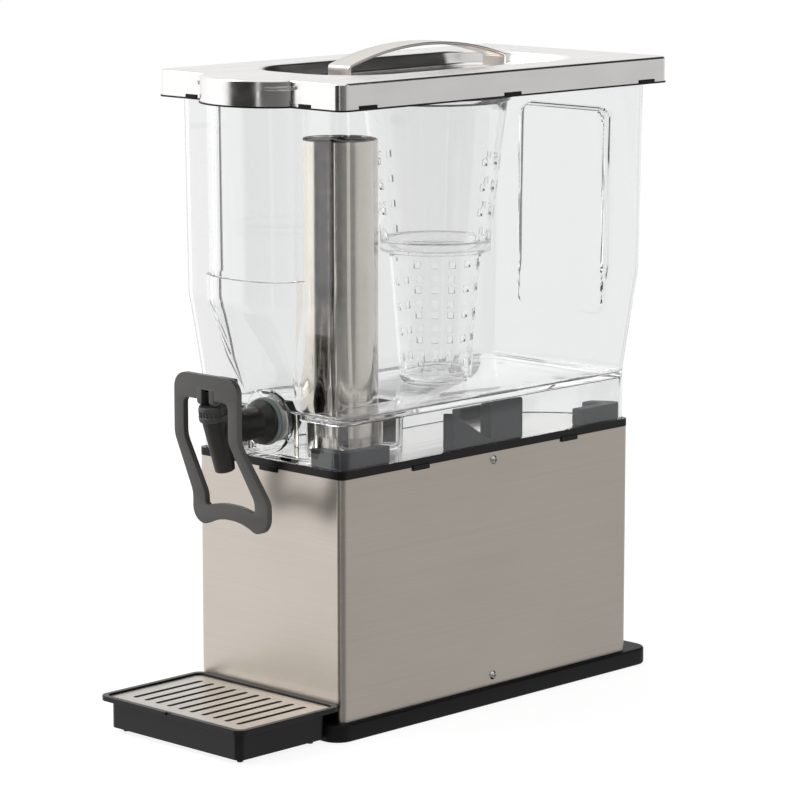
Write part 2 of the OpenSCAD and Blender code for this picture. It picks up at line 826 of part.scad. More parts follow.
module lid_handle() {
    leg_top = recess_z + 14.5;
    arc_r = (strap_half * strap_half + arch_rise * arch_rise) / (2 * arch_rise);
    arc_z = leg_top + arch_rise - arc_r;
    color("#d0cbc3") difference() {
        across_x(strap_w) {
            intersection() {
                difference() {
                    translate([0, arc_z]) circle(arc_r, $fn = 256);
                    translate([0, arc_z]) circle(arc_r - strap_t, $fn = 256);
                }
                translate([-strap_half, leg_top - 4]) square([2 * strap_half, arch_rise + 8]);
            }
            for (side = [0, 1]) mirror([side, 0]) {
                translate([strap_half - strap_t, recess_z]) square([strap_t, leg_top - recess_z - 0.2]);
                translate([strap_half - foot_len - strap_t, recess_z]) square([foot_len + 1, strap_t]);
            }
        }
        screw_places() translate([0, 0, recess_z - 1]) cylinder(r = 1.8, h = 6, $fn = 32);
    }
}

module lid_screws() {
    color("#9c9c9c") screw_places() translate([0, 0, plate_z]) {
        translate([0, 0, 0.2]) cylinder(r1 = 2.4, r2 = 3.6, h = 1.75);
        translate([0, 0, 1.9]) cylinder(r = 1.75, h = recess_z + strap_t - plate_z - 2, $fn = 32);
    }
}

// ---- Drip tray ----

module drip_tray() {
    lip = 4;
    color("#171717") difference() {
        union() {
            translate([0, well_y, 3.5]) rounded_block(well_w, well_d, tray_h - 3.5 - lip + 0.5, 6);
            translate([0, tray_y, tray_h - lip]) rounded_block(tray_w, tray_d, lip, 8);
            for (x = [-1, 1], y = [-1, 1])
                translate([x * (well_w / 2 - 9), well_y + y * (well_d / 2 - 9), 0])
                    cylinder(r1 = 2.4, r2 = 3, h = 4, $fn = 32);
        }
        translate([0, well_y, 6])
            rounded_block(well_w - 2 * tray_wall, well_d - 2 * tray_wall, tray_h, 6 - tray_wall);
        translate([0, tray_y, tray_h - 3]) rounded_block(tray_w - 9, tray_d - 9, 4, 5);
        translate([0, tray_front, tray_h - 1]) cube([6, 3, 2.4], center = true);
    }
}

module tray_grille() {
    slots_w = (slot_count - 1) * slot_pitch;
    rim_w = well_w - 2 * tray_wall - 3;
    rim_d = well_d - 2 * tray_wall - 3;
    color("#b5b0a6") translate([0, tray_y, tray_h - 3]) difference() {
        union() {
            rounded_block(tray_w - 9.8, tray_d - 9.8, grille_t, 4.6);
            // Turned-down edge that stiffens the plate
            difference() {
                translate([0, well_y - tray_y, -4]) rounded_block(rim_w, rim_d, 4.1, 3.5);
                translate([0, well_y - tray_y, -5]) rounded_block(rim_w - 3, rim_d - 3, 6.1, 2);
            }
        }
        for (k = [0:slot_count - 1])
            translate([k * slot_pitch - slots_w / 2, 0, -1])
                rounded_block(slot_width, slot_len, grille_t + 2, slot_width / 2 - 0.05);
    }
}

foot_plate();
foot_pads();
base_shell();
base_collar();
deck_plate();
corner_blocks();
side_blocks();
base_screws();
reservoir();
faucet_body();
faucet_bonnet();
washer_outer();
washer_inner();
shank_nut();
faucet_stem();
seat_cup();
handle_pin();
faucet_handle();
ice_tube();
tube_stopper();
stopper_seal();
lid_cover();
lid_liner();
lid_handle();
lid_screws();
infuser_sleeve();
infuser_cup();
drip_tray();
tray_grille();
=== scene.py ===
"""Looks of a countertop cold-drink dispenser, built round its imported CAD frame.

Sizes and places are in millimetres in the part's own frame (X right, Y back, Z up,
origin at the centre of the foot plate's underside), and turn into metres where a
mesh is made.
"""

from math import cos, hypot, pi, radians, sin, sqrt, tan

import bmesh
import bpy
from mathutils import Matrix, Vector


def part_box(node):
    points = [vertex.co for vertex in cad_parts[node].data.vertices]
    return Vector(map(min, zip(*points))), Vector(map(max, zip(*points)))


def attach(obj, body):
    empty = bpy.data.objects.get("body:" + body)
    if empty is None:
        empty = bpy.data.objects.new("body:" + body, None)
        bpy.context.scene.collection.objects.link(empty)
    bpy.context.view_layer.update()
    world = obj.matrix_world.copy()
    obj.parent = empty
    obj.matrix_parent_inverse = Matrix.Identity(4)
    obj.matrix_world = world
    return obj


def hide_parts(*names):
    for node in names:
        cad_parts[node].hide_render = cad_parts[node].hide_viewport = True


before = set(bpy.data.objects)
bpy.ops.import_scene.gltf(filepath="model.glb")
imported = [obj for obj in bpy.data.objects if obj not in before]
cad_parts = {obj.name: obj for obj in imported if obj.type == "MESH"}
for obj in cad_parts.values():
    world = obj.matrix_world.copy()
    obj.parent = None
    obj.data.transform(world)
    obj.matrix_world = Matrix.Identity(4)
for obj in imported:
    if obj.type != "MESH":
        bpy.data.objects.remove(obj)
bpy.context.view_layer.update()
MM = 0.001

# ---- Driving sizes, as in the CAD source ----
WALL = 3
DECK, FLOOR, SHOULDER, MOUTH = 210, 248, 250, 502
SKIRT_X, SKIRT_Y = 80, 165.4
FLARE_X, FLARE_Y = 8.8, 11.6
PLAN_R = 12
LEDGE = 354
BULGE_LOW = 262
WELL_X, WELL_BACK, WELL_R, WELL_FLOOR = 34, -54.5, 12, 212
PAD_FACE = -158.6
SHANK_Z, SHANK_R, BOSS_R, BOSS_FACE = 240.5, 11, 25, -168.6
VALVE_Y, VALVE_TILT, PIN_UP, BONNET_TOP = -219.9, 12.8, 27, 21
PIN_Y = VALVE_Y - PIN_UP * sin(radians(VALVE_TILT))
PIN_Z = SHANK_Z + PIN_UP * cos(radians(VALVE_TILT))
TUBE_Y = -89.8
INFUSER_Y = 18
LID_X, LID_Y, LID_R = 102, 187.5, 9
LID_BULGE_W, LID_BULGE_D = 50, 28
RECESS_X, RECESS_Y, RECESS_R = 63, 140, 48


# ---- Mesh helpers ----

def rounded(points, radii, steps=6, closed=True):
    """A polyline with an arc in place of each corner that has a radius."""
    points = [Vector(p) for p in points]
    count = len(points)
    if not hasattr(radii, "__len__"):
        radii = [radii] * count
    out = []
    for i, (corner, radius) in enumerate(zip(points, radii)):
        if radius == 0 or (not closed and i in (0, count - 1)):
            out.append(corner)
            continue
        to_last = (points[i - 1] - corner).normalized()
        to_next = (points[(i + 1) % count] - corner).normalized()
        half = to_last.angle(to_next) / 2
        if half > pi / 2 - 0.01:
            out.append(corner)
            continue
        centre = corner + (to_last + to_next).normalized() * radius / sin(half)
        first = corner + to_last * radius / tan(half) - centre
        last = corner + to_next * radius / tan(half) - centre
        sweep = first.angle(last)
        for k in range(steps + 1):
            share = k / steps
            out.append(centre + (first * sin((1 - share) * sweep) + last * sin(share * sweep)) / sin(sweep))
    return out


def rectangle(width, depth, radius, y=0, steps=8):
    """A rounded rectangle centred on (0, y), counterclockwise."""
    w, d = width / 2, depth / 2
    corners = [(-w, y - d), (w, y - d), (w, y + d), (-w, y + d)]
    return rounded(corners, radius, steps)


def ring_at(outline, z):
    return [Vector((p[0], p[1], z)) for p in outline]


def add_corner(out, centre, radius, start, steps):
    """Adds a quarter turn to an outline, from a bearing in degrees, without its first point."""
    for k in range(1, steps + 1):
        a = radians(start + 90 * k / steps)
        out.append((centre[0] + radius * cos(a), centre[1] + radius * sin(a)))


def inset(outline, distance):
    """A closed counterclockwise outline moved inwards by a distance."""
    count = len(outline)
    out = []
    for i, p in enumerate(outline):
        p = Vector(p[:2])
        before = (p - Vector(outline[i - 1][:2])).normalized()
        after = (Vector(outline[(i + 1) % count][:2]) - p).normalized()
        normals = [Vector((-e.y, e.x)) for e in (before, after)]
        middle = (normals[0] + normals[1]).normalized()
        out.append(p + middle * distance / max(0.3, middle.dot(normals[0])))
    return out


def solid(name, verts, faces, matrix=None, crease=32):
    """An object from millimetre points, with its doubles merged and its normals outwards."""
    mesh = bpy.data.meshes.new(name)
    mesh.from_pydata([Vector(v) * MM for v in verts], [], faces)
    if matrix is not None:
        place = matrix.copy()
        place.translation *= MM
        mesh.transform(place)
    work = bmesh.new()
    work.from_mesh(mesh)
    bmesh.ops.remove_doubles(work, verts=work.verts, dist=1e-7)
    bmesh.ops.recalc_face_normals(work, faces=work.faces)
    work.to_mesh(mesh)
    work.free()
    obj = bpy.data.objects.new(name, mesh)
    bpy.context.scene.collection.objects.link(obj)
    shade(obj, crease)
    return obj


def shade(obj, crease=32):
    obj.data.shade_smooth()
    obj.data.set_sharp_from_angle(angle=radians(crease))
    return obj


def loft(name, rings, caps=True, closed=False, **options):
    """A skin through rings of equal length, capped at its ends or closed on itself."""
    count = len(rings[0])
    verts = [v for ring in rings for v in ring]
    spans = len(rings) if closed else len(rings) - 1
    faces = []
    for r in range(spans):
        low, high = r * count, ((r + 1) % len(rings)) * count
        for k in range(count):
            n = (k + 1) % count
            faces.append((low + k, low + n, high + n, high + k))
    if caps and not closed:
        faces.append(tuple(range(count)))
        faces.append(tuple(range(len(verts) - count, len(verts))))
    return solid(name, verts, faces, **options)


def lathe(name, profile, closed=True, segments=96, **options):
    """A profile of (radius, z) points turned about Z. An open one starts and ends on the axis."""
    rings = []
    for k in range(segments):
        a = 2 * pi * k / segments
        rings.append([Vector((p[0] * cos(a), p[0] * sin(a), p[1])) for p in profile])
    count = len(profile)
    verts = [v for ring in rings for v in ring]
    faces = []
    for s in range(segments):
        here, there = s * count, ((s + 1) % segments) * count
        for k in range(count if closed else count - 1):
            n = (k + 1) % count
            faces.append((here + k, there + k, there + n, here + n))
    return solid(name, verts, faces, **options)


def block(name, outline, z0, z1, edge=0.5, steps=3, **options):
    """An outline raised from z0 to z1 with rounded upper and lower edges."""
    rings = []
    for k in range(steps + 1):
        a = pi / 2 * k / steps
        rings.append(ring_at(inset(outline, edge * (1 - sin(a))), z0 + edge * (1 - cos(a))))
    for k in range(steps + 1):
        a = pi / 2 * k / steps
        rings.append(ring_at(inset(outline, edge * (1 - cos(a))), z1 - edge * (1 - sin(a))))
    return loft(name, rings, **options)


def bake(obj):
    """Turns an object's modifiers into its mesh."""
    depsgraph = bpy.context.evaluated_depsgraph_get()
    mesh = bpy.data.meshes.new_from_object(obj.evaluated_get(depsgraph))
    obj.modifiers.clear()
    obj.data = mesh
    return obj


def combine(obj, tool, operation):
    """Joins the tool to an object (UNION) or cuts it away (DIFFERENCE), and drops the tool."""
    modifier = obj.modifiers.new("combine", "BOOLEAN")
    modifier.operation = operation
    modifier.solver = "EXACT"
    modifier.object = tool
    bake(obj)
    bpy.data.objects.remove(tool)
    return obj


def merge(name, parts):
    """Several meshes as one object, without cutting them."""
    work = bmesh.new()
    for part in parts:
        work.from_mesh(part.data)
        bpy.data.objects.remove(part)
    mesh = bpy.data.meshes.new(name)
    work.to_mesh(mesh)
    work.free()
    obj = bpy.data.objects.new(name, mesh)
    bpy.context.scene.collection.objects.link(obj)
    return obj


def soften(obj, width, angle=35, segments=3):
    """Small round edges, with flat faces kept flat in the shading."""
    bevel = obj.modifiers.new("edges", "BEVEL")
    bevel.width = width * MM
    bevel.segments = segments
    bevel.limit_method = "ANGLE"
    bevel.angle_limit = radians(angle)
    bevel.use_clamp_overlap = True
    bevel.miter_outer = "MITER_ARC"
    normals = obj.modifiers.new("normals", "WEIGHTED_NORMAL")
    normals.keep_sharp = False
    return obj


def piece(obj, material, body, *nodes, slot=None):
    """Gives an object its material and body, and the CAD nodes that it stands for."""
    obj.data.materials.clear()
    obj.data.materials.append(material)
    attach(obj, body)
    if nodes:
        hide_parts(*nodes)
    return obj


def dress(node, material, edge=0.4, angle=32):
    """A CAD node as it is, with round edges and its own material."""
    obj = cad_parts[node]
    obj.data.materials.clear()
    obj.data.materials.append(material)
    for polygon in obj.data.polygons:
        polygon.material_index = 0
        polygon.use_smooth = True
    weld = obj.modifiers.new("weld", "WELD")
    weld.merge_threshold = 1e-6
    flat = obj.modifiers.new("flat", "DECIMATE")
    flat.decimate_type = "DISSOLVE"
    flat.angle_limit = radians(0.6)
    soften(obj, edge, angle)
    return obj


# ---- Materials ----

class Finish:
    """A Principled material with a few shared ways of adding procedural detail."""

    def __init__(self, name, **values):
        self.material = bpy.data.materials.new(name)
        self.material.use_nodes = True
        self.tree = self.material.node_tree
        self.shader = self.tree.nodes["Principled BSDF"]
        self.output = self.tree.nodes["Material Output"]
        self.coordinates = self.tree.nodes.new("ShaderNodeTexCoord").outputs["Object"]
        self.normal = None
        for socket, value in values.items():
            self.shader.inputs[socket.replace("_", " ")].default_value = value

    def link(self, a, b):
        self.tree.links.new(a, b)

    def noise(self, scale, stretch=(1, 1, 1), detail=3, rough=0.5, distortion=0):
        """Noise over the object's own frame, in features per metre, stretched by axis."""
        mapping = self.tree.nodes.new("ShaderNodeMapping")
        mapping.inputs["Scale"].default_value = stretch
        texture = self.tree.nodes.new("ShaderNodeTexNoise")
        texture.inputs["Scale"].default_value = scale
        texture.inputs["Detail"].default_value = detail
        texture.inputs["Roughness"].default_value = rough
        texture.inputs["Distortion"].default_value = distortion
        self.link(self.coordinates, mapping.inputs["Vector"])
        self.link(mapping.outputs["Vector"], texture.inputs["Vector"])
        return texture.outputs["Fac"]

    def spread(self, factor, low, high, floor=0.3, ceiling=0.7):
        """Maps a noise's middle range to values from low to high."""
        ramp = self.tree.nodes.new("ShaderNodeMapRange")
        ramp.inputs["From Min"].default_value = floor
        ramp.inputs["From Max"].default_value = ceiling
        ramp.inputs["To Min"].default_value = low
        ramp.inputs["To Max"].default_value = high
        self.link(factor, ramp.inputs["Value"])
        return ramp.outputs["Result"]

    def tint(self, factor, dark, light):
        """Base colour that wanders between two colours."""
        mix = self.tree.nodes.new("ShaderNodeMix")
        mix.data_type = "RGBA"
        mix.inputs["A"].default_value = (*dark, 1)
        mix.inputs["B"].default_value = (*light, 1)
        self.link(self.spread(factor, 0, 1), mix.inputs["Factor"])
        self.link(mix.outputs["Result"], self.shader.inputs["Base Color"])

    def roughness(self, factor, low, high):
        self.link(self.spread(factor, low, high), self.shader.inputs["Roughness"])

    def bump(self, factor, height, strength=1.0):
        """Relief of a height in millimetres; calls stack."""
        node = self.tree.nodes.new("ShaderNodeBump")
        node.inputs["Strength"].default_value = strength
        node.inputs["Distance"].default_value = height * MM
        self.link(factor, node.inputs["Height"])
        if self.normal is not None:
            self.link(self.normal, node.inputs["Normal"])
        self.normal = node.outputs["Normal"]
        self.link(self.normal, self.shader.inputs["Normal"])

    def clear_to_shadow(self, tint):
        """Lets light through to what stands behind a clear wall."""
        path = self.tree.nodes.new("ShaderNodeLightPath")
        through = self.tree.nodes.new("ShaderNodeBsdfTransparent")
        through.inputs["Color"].default_value = (*tint, 1)
        mix = self.tree.nodes.new("ShaderNodeMixShader")
        self.link(path.outputs["Is Shadow Ray"], mix.inputs["Fac"])
        self.link(self.shader.outputs["BSDF"], mix.inputs[1])
        self.link(through.outputs["BSDF"], mix.inputs[2])
        self.link(mix.outputs["Shader"], self.output.inputs["Surface"])


def brushed_steel(name, light, dark, rough, stretch, anisotropy=0.5, turn=0.25):
    finish = Finish(name, Metallic=1.0, Anisotropic=anisotropy, Anisotropic_Rotation=turn)
    grain = finish.noise(1, stretch, detail=6, rough=0.8)
    cloud = finish.noise(7, (1, 1, 1.6), detail=2)
    finish.tint(grain, dark, light)
    finish.roughness(cloud, rough - 0.03, rough + 0.04)
    finish.bump(grain, 0.012, 0.35)
    return finish.material


def satin_steel(name, light, dark, rough, scale=3):
    finish = Finish(name, Metallic=1.0)
    cloud = finish.noise(scale * 6, detail=4)
    smear = finish.noise(scale * 40, (1, 0.08, 1), detail=3)
    finish.tint(cloud, dark, light)
    finish.roughness(smear, rough - 0.04, rough + 0.05)
    finish.bump(smear, 0.004, 0.3)
    return finish.material


def moulded(name, colour, rough, texture=900, height=0.02, coat=0.0, shift=0.18, shine=0.14):
    """Moulded plastic: a fine spark-eroded texture and slow colour drift."""
    light = tuple(c * (1 + shift) + 0.001 for c in colour)
    dark = tuple(c * (1 - shift) for c in colour)
    finish = Finish(name, Coat_Weight=coat, Coat_Roughness=0.12, IOR=1.5, Specular_IOR_Level=shine)
    drift = finish.noise(18, detail=3)
    grain = finish.noise(texture, detail=2)
    finish.tint(drift, dark, light)
    finish.roughness(drift, rough - 0.05, rough + 0.07)
    finish.bump(grain, height, 0.4)
    return finish.material


def clear_plastic(name, colour, rough, wave, ior=1.46, tint=(0.96, 0.965, 0.965)):
    """Clear polycarbonate with the faint flow waviness of a moulding."""
    finish = Finish(name, IOR=ior, Transmission_Weight=1.0, Base_Color=(*colour, 1))
    flow = finish.noise(9, (1, 1, 0.35), detail=2)
    haze = finish.noise(60, detail=3)
    finish.roughness(haze, max(0.0, rough - 0.01), rough + 0.02)
    finish.bump(flow, wave, 0.5)
    finish.clear_to_shadow(tint)
    return finish.material


base_steel = brushed_steel("base_steel", (0.545, 0.50, 0.45), (0.50, 0.455, 0.405), 0.30, (4, 4, 1100))
lid_steel = satin_steel("lid_steel", (0.80, 0.785, 0.77), (0.74, 0.725, 0.71), 0.17)
strap_steel = brushed_steel("strap_steel", (0.74, 0.70, 0.66), (0.64, 0.60, 0.56), 0.27,
                            (700, 6, 6), 0.4, 0.0)
tube_steel = satin_steel("tube_steel", (0.72, 0.675, 0.62), (0.64, 0.595, 0.54), 0.11)
grille_steel = brushed_steel("grille_steel", (0.62, 0.59, 0.55), (0.52, 0.49, 0.45), 0.32,
                             (6, 700, 6), 0.3, 0.0)
deck_steel = satin_steel("deck_steel", (0.82, 0.80, 0.79), (0.76, 0.745, 0.735), 0.16)
screw_steel = satin_steel("screw_steel", (0.5, 0.5, 0.5), (0.4, 0.4, 0.4), 0.25)
black_plastic = moulded("black_plastic", (0.006, 0.006, 0.0065), 0.4)
liner_plastic = moulded("liner_plastic", (0.006, 0.006, 0.006), 0.36)
collar_plastic = moulded("collar_plastic", (0.005, 0.005, 0.0055), 0.2, texture=500, height=0.008, shine=0.2)
tray_plastic = moulded("tray_plastic", (0.006, 0.006, 0.0065), 0.3, height=0.012, shine=0.25)
block_rubber = moulded("block_rubber", (0.042, 0.043, 0.047), 0.5, texture=600, height=0.03, shine=0.25)
pad_rubber = moulded("pad_rubber", (0.03, 0.03, 0.03), 0.7, texture=500, height=0.05)
faucet_plastic = moulded("faucet_plastic", (0.020, 0.0185, 0.0175), 0.34, height=0.014, shine=0.3)
handle_plastic = moulded("handle_plastic", (0.055, 0.053, 0.051), 0.36, height=0.014, shine=0.5)
bonnet_plastic = moulded("bonnet_plastic", (0.04, 0.04, 0.039), 0.36, height=0.012, shine=0.4)
nut_plastic = moulded("nut_plastic", (0.012, 0.013, 0.014), 0.3, height=0.012)
grey_silicone = moulded("grey_silicone", (0.17, 0.20, 0.195), 0.45, texture=400, height=0.02)
white_silicone = moulded("white_silicone", (0.72, 0.71, 0.68), 0.5, texture=400, height=0.02, shift=0.04)
red_silicone = moulded("red_silicone", (0.30, 0.05, 0.035), 0.45, texture=400, height=0.02)
clear_reservoir = clear_plastic("clear_reservoir", (0.985, 0.99, 0.99), 0.0, 0.05)
clear_infuser = clear_plastic("clear_infuser", (0.985, 0.985, 0.985), 0.02, 0.03)


# ---- Reservoir ----

def flare(z):
    """Share of the wall's outward lean that is reached at a level."""
    knee, width, share = 333, 8, 0.85
    if z <= SHOULDER:
        return 0
    lower = share * ((z - SHOULDER) / (knee - SHOULDER)) ** 1.12 if z < knee else share
    upper = share + (1 - share) * (z - knee) / (MOUTH - knee)
    blend = min(1, max(0, (z - knee + width) / (2 * width)))
    blend = blend * blend * (3 - 2 * blend)
    return lower * (1 - blend) + upper * blend


def bulge_at(z):
    """Half width of the front bulge and how far it stands past the wall, at a level."""
    if z > LEDGE:
        share = (z - LEDGE) / (MOUTH - LEDGE)
        return 43.6, 26.8 + 0.6 * share
    share = min(1, max(0, (z - BULGE_LOW) / (LEDGE - 20 - BULGE_LOW)))
    return 31 + 15 * share, 29.6 * share ** 0.9


def swell(straight, wide, reach, root):
    """A straight wall with a half-elliptic bulge and rounded roots, as (x, distance out)."""
    side = []
    start = wide + root
    for k in range(6):
        side.append((-straight + (straight - start) * k / 5, 0))
    for k in range(1, 6):
        a = pi / 2 * k / 5
        side.append((-start + root * sin(a), root * (1 - cos(a))))
    for k in range(1, 18):
        a = pi / 2 * k / 18
        side.append((-wide * cos(a), root + (reach - root) * sin(a)))
    return side + [(0, reach)] + [(-x, y) for x, y in reversed(side)]


def panel_dip(x, z):
    """Depth of the shallow panel pressed into the back wall."""
    half_x, low, high, radius, ramp = 47, 292, 461, 10, 1.6
    dx = abs(x) - (half_x - radius)
    dz = abs(z - (low + high) / 2) - ((high - low) / 2 - radius)
    distance = hypot(max(dx, 0), max(dz, 0)) + min(max(dx, dz), 0) - radius
    share = min(1, max(0, (ramp / 2 - distance) / ramp))
    return share * share * (3 - 2 * share)


def back_stations():
    """Shares of the back wall's half width, crowded where the panel's edge runs."""
    outer = [76 - k * 4 for k in range(7)]
    edge = [49.6 - k * 1.1 for k in range(13)]
    inner = [30 - k * 6 for k in range(5)]
    right = outer + edge + inner
    return right + [0] + [-x for x in reversed(right)]


PANEL_Y = 169.6


def wall_ring(z, in_by, bulge=True, panel=True, low=None):
    """The reservoir's wall in plan at a level, moved inwards by in_by."""
    share = flare(z)
    x_half = SKIRT_X + FLARE_X * share - in_by
    y_half = SKIRT_Y + FLARE_Y * share - in_by
    radius = PLAN_R - in_by
    wide, reach = bulge_at(z)
    wide -= in_by
    if not bulge:
        reach = 0
    out = []

    straight = x_half - radius
    out += [(x, -y_half - y) for x, y in swell(straight, wide, reach, min(6, 0.5 * reach))]
    low_y, high_y = -y_half + radius, y_half - radius
    add_corner(out, (straight, low_y), radius, -90, 10)
    out += [(x_half, low_y * (1 - 2 * k / 12)) for k in range(1, 12)]
    out.append((x_half, high_y))
    add_corner(out, (straight, high_y), radius, 0, 10)
    for x in back_stations()[1:-1]:
        x = x * straight / 76
        dip = panel_dip(x, z) * max(0, y_half + in_by - PANEL_Y) if panel else 0
        out.append((x, y_half - dip))
    out.append((-straight, y_half))
    add_corner(out, (-straight, high_y), radius, 90, 10)
    out += [(-x_half, high_y * (1 - 2 * k / 12)) for k in range(1, 12)]
    out.append((-x_half, low_y))
    add_corner(out, (-straight, low_y), radius, 180, 10)
    return ring_at(out[:-1], z if low is None else low)


def wall_levels(start):
    """Levels for the wall's rings, crowded at the bends, the ledge and the panel's ends."""
    levels = [start]
    levels += [252 + 3 * k for k in range(10)]
    levels += [282 + 1.6 * k for k in range(16)]
    levels += [310 + 3 * k for k in range(14)]
    levels += [352, 353, 353.7, 354.01, 354.4, 355.2, 357]
    levels += [360 + 10 * k for k in range(9)]
    levels += [447 + 1.6 * k for k in range(14)]
    levels += [474, 486]
    return sorted(z for z in levels if z >= start)


def make_reservoir():
    flange = 5
    outer = [[Vector((p.x, p.y, DECK)) for p in wall_ring(DECK, 0.7, False, low=DECK)],
             wall_ring(DECK + 0.7, 0, False)]
    outer += [wall_ring(z, 0) for z in wall_levels(249)]
    outer += [wall_ring(498.6, 0), wall_ring(499, -0.3)]
    outer += [wall_ring(499, -flange + 0.4), wall_ring(499.4, -flange), wall_ring(501.4, -flange)]
    outer += [wall_ring(501.85, -flange + 0.15), wall_ring(MOUTH, -flange + 0.6)]
    body = loft("reservoir_body", outer)

    cavity = []
    fillet = 3.5
    for k in range(6):
        a = pi / 2 * k / 5
        cavity.append(wall_ring(FLOOR + fillet * (1 - cos(a)), WALL + fillet * (1 - sin(a))))
    cavity += [wall_ring(z, WALL) for z in wall_levels(FLOOR + fillet + 0.5)]
    cavity += [wall_ring(501.2, WALL), wall_ring(501.7, WALL - 0.2), wall_ring(MOUTH + 0.4, WALL - 0.9)]
    inside = loft("reservoir_inside", cavity)

    well_mid = (PAD_FACE + WELL_BACK) / 2
    well_deep = WELL_BACK - PAD_FACE
    well = block("well", rectangle(2 * WELL_X, well_deep, WELL_R, well_mid, 10), WELL_FLOOR, FLOOR + 6, 4, 5)
    well_front = -SKIRT_Y + 0.3
    shell_mid = (well_front + WELL_BACK + WALL) / 2
    shell_deep = WELL_BACK + WALL - well_front
    shell = block("well_shell", rectangle(2 * (WELL_X + WALL), shell_deep, WELL_R + WALL, shell_mid, 10),
                  DECK, FLOOR - 1, 3, 4)
    pocket = block("pocket", rectangle(2 * (SKIRT_X - WALL), 2 * (SKIRT_Y - WALL), PLAN_R - WALL, 0, 10),
                   DECK - 5, FLOOR - WALL, 1.5, 3)
    combine(pocket, shell_copy(shell), "DIFFERENCE")
    along = Matrix.Rotation(-pi / 2, 4, "X")
    pad = lathe("pad", rounded([(0, 0), (18, 0), (18, 6.6), (0, 6.6)], [0, 0, 1, 0], 4, False), False, 64,
                matrix=Matrix.Translation((0, PAD_FACE - 6.6, SHANK_Z)) @ along)
    combine(inside, pad, "DIFFERENCE")
    combine(body, inside, "DIFFERENCE")
    combine(body, pocket, "DIFFERENCE")
    combine(body, shell, "UNION")
    combine(body, well, "DIFFERENCE")
    boss_deep = -SKIRT_Y + 1 - BOSS_FACE
    boss = [(0, 0), (BOSS_R, 0), (BOSS_R, boss_deep), (0, boss_deep)]
    boss = lathe("boss", rounded(boss, [0, 1.2, 0, 0], 4, False), False, 72,
                 matrix=Matrix.Translation((0, BOSS_FACE, SHANK_Z)) @ along)
    combine(body, boss, "UNION")
    bore = lathe("bore", [(0, 0), (SHANK_R + 0.4, 0), (SHANK_R + 0.4, 20), (0, 20)], False, 64,
                 matrix=Matrix.Translation((0, BOSS_FACE - 4, SHANK_Z)) @ along)
    combine(body, bore, "DIFFERENCE")
    shade(body, 26)
    body.name = "reservoir_shell"
    piece(body, clear_reservoir, "reservoir", "reservoir", slot="clear_reservoir")


def shell_copy(obj):
    twin = obj.copy()
    twin.data = obj.data.copy()
    bpy.context.scene.collection.objects.link(twin)
    return twin


# ---- Ice tube ----

def make_ice_tube():
    low, high = (v.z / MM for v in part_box("ice_tube"))
    outer, inner = 30, 28.8
    profile = rounded([(0, low), (outer, low), (outer, high), (inner, high), (inner, low + 1.2),
                       (0, low + 1.2)],
                      [0, 1.6, 0.45, 0.45, 1.2, 0], 5, False)
    tube = lathe("ice_tube_shell", profile, False, 160, matrix=Matrix.Translation((0, TUBE_Y, 0)))
    piece(tube, tube_steel, "ice_tube", "ice_tube", slot="tube_steel")


# ---- Infuser ----

def holed_cone(radius_at, levels, rows, step, aim, hole, height):
    """A thin round wall as a grid of faces, with the two opposite fields of square holes left out."""
    angles = set()
    columns = [side + k * step + aim for side in (0, 180) for k in range(-2, 3)]
    middle = sum(levels) / len(levels)
    half = (hole / 2) / radius_at(middle)
    for c in columns:
        c = radians(c)
        angles.update(((c - half) % (2 * pi), (c + half) % (2 * pi)))
    for k in range(96):
        a = 2 * pi * k / 96
        if all(abs((a - b + pi) % (2 * pi) - pi) > 0.018 for b in angles) and \
                all(abs((a - radians(c) + pi) % (2 * pi) - pi) > half for c in columns):
            angles.add(a)
    angles = sorted(angles)
    heights = set(levels)
    for z in rows:
        heights.update((z - height / 2, z + height / 2))
    heights = sorted(heights)
    verts = [Vector((radius_at(z) * cos(a), radius_at(z) * sin(a), z)) for z in heights for a in angles]
    count = len(angles)
    faces = []
    for r in range(len(heights) - 1):
        mid_z = (heights[r] + heights[r + 1]) / 2
        in_row = any(abs(mid_z - z) < height / 2 for z in rows)
        for k in range(count):
            n = (k + 1) % count
            span = (angles[n] - angles[k]) % (2 * pi)
            mid_a = angles[k] + span / 2
            at_hole = any(abs((mid_a - radians(c) + pi) % (2 * pi) - pi) < half * 0.9 for c in columns)
            if not (in_row and at_hole):
                faces.append((r * count + k, r * count + n, (r + 1) * count + n, (r + 1) * count + k))
    return verts, faces


def thicken(obj, thickness, edge):
    wall = obj.modifiers.new("wall", "SOLIDIFY")
    wall.thickness = thickness * MM
    wall.offset = -1
    wall.use_even_offset = True
    bake(obj)
    bevel = obj.modifiers.new("edges", "BEVEL")
    bevel.width = edge * MM
    bevel.segments = 2
    bevel.limit_method = "ANGLE"
    bevel.angle_limit = radians(50)
    bake(obj)
    shade(obj, 35)
    return obj


